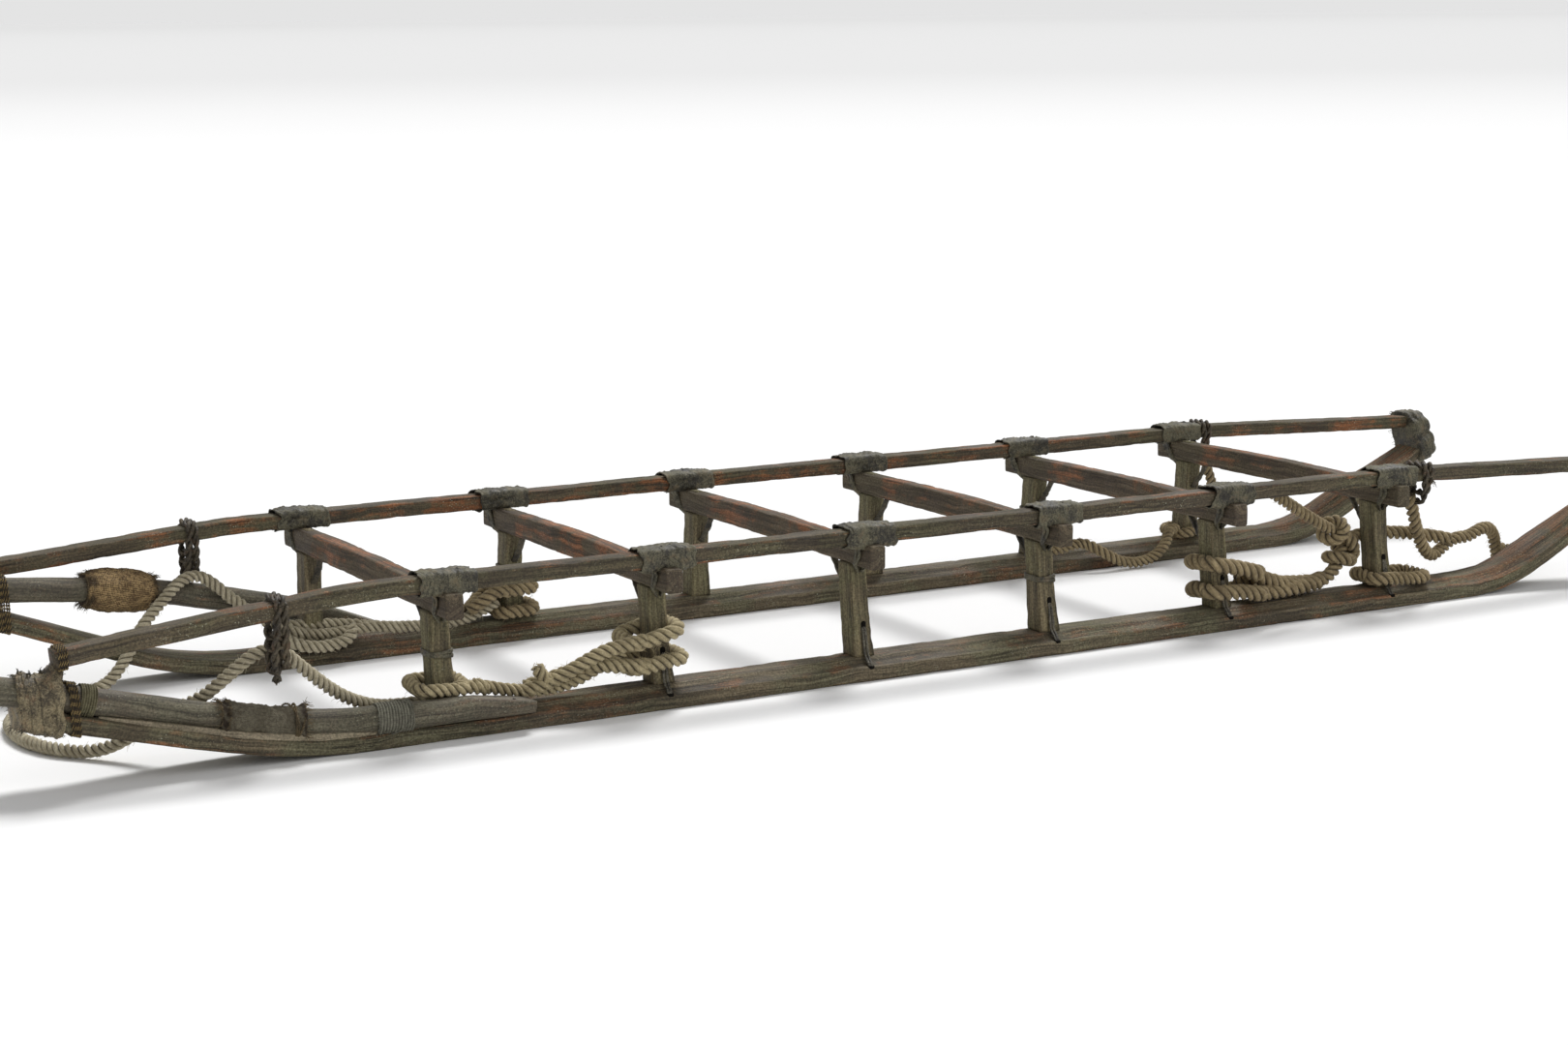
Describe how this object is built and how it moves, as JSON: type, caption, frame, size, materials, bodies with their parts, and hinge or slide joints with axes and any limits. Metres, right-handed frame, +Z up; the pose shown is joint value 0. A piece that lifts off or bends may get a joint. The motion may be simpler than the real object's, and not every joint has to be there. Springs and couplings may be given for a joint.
{
  "type": "dog sled",
  "caption": "Lashed wooden dog sled with ribbed runners turned up at both ends, uprights, crossbars, side rails and a bent nose bow.",
  "frame": {"origin": "halfway along the sled, on its centre line, at the level of the runner soles", "axes": "+X along the sled towards the towing end, +Y to the sled's left, +Z up"},
  "size_m": [3.3, 0.706, 0.2523],
  "materials": {
    "runner_wood": "weathered, dark brown with grey-green patina",
    "frame_wood": "weathered, dark brown with worn reddish edges",
    "upright_wood": "weathered olive grey",
    "bow_wood": "weathered dark brown",
    "hide_dark": "dried dark hide",
    "hide_lashing": "dried grey-green hide",
    "hide_thong": "dried grey hide",
    "hide_wrap": "dried brown hide",
    "rope_pale": "off-white laid rope, fuzzy",
    "rope_tan": "tan laid rope, soiled",
    "cord_whipping": "dark twisted cord",
    "canvas": "frayed khaki canvas",
    "burlap": "brown burlap"
  },
  "bodies": {
    "root": {"runner_left": "runner_wood", "side_rail_left": "frame_wood", "stays_left": "hide_dark", "rail_lashings_left": "hide_lashing", "foot_thongs_left": "hide_thong", "upright_bands_left": "hide_lashing", "front_binding_left": "hide_wrap", "rear_binding_left": "hide_wrap", "rail_front_left": "frame_wood", "rail_rear_left": "frame_wood", "rail_thongs_left": "hide_thong", "rope_turns_left": "rope_pale", "upright_left_1": "upright_wood", "upright_left_2": "upright_wood", "upright_left_3": "upright_wood", "upright_left_4": "upright_wood", "upright_left_5": "upright_wood", "upright_left_6": "upright_wood", "runner_right": "runner_wood", "side_rail_right": "frame_wood", "stays_right": "hide_dark", "rail_lashings_right": "hide_lashing", "foot_thongs_right": "hide_thong", "upright_bands_right": "hide_lashing", "front_binding_right": "hide_wrap", "rear_binding_right": "hide_wrap", "rail_front_right": "frame_wood", "rail_rear_right": "frame_wood", "rail_thongs_right": "hide_thong", "rope_turns_right": "rope_tan", "upright_right_1": "upright_wood", "upright_right_2": "upright_wood", "upright_right_3": "upright_wood", "upright_right_4": "upright_wood", "upright_right_5": "upright_wood", "upright_right_6": "upright_wood", "crossbar_1": "frame_wood", "crossbar_2": "frame_wood", "crossbar_3": "frame_wood", "crossbar_4": "frame_wood", "crossbar_5": "frame_wood", "crossbar_6": "frame_wood", "nose_bow": "bow_wood", "canvas_wrap_left": "canvas", "burlap_wrap_right": "burlap", "whipping_left": "cord_whipping", "tip_whipping_left": "cord_whipping", "tip_cord_left": "cord_whipping", "bridle_rope": "rope_pale", "rope_left_1_2": "rope_pale", "rope_left_5_6": "rope_tan", "rope_left_rail": "rope_tan", "rope_left_rear": "rope_tan", "rope_right_5_6": "rope_tan", "rope_right_rear": "rope_tan"}
  },
  "joints": []
}
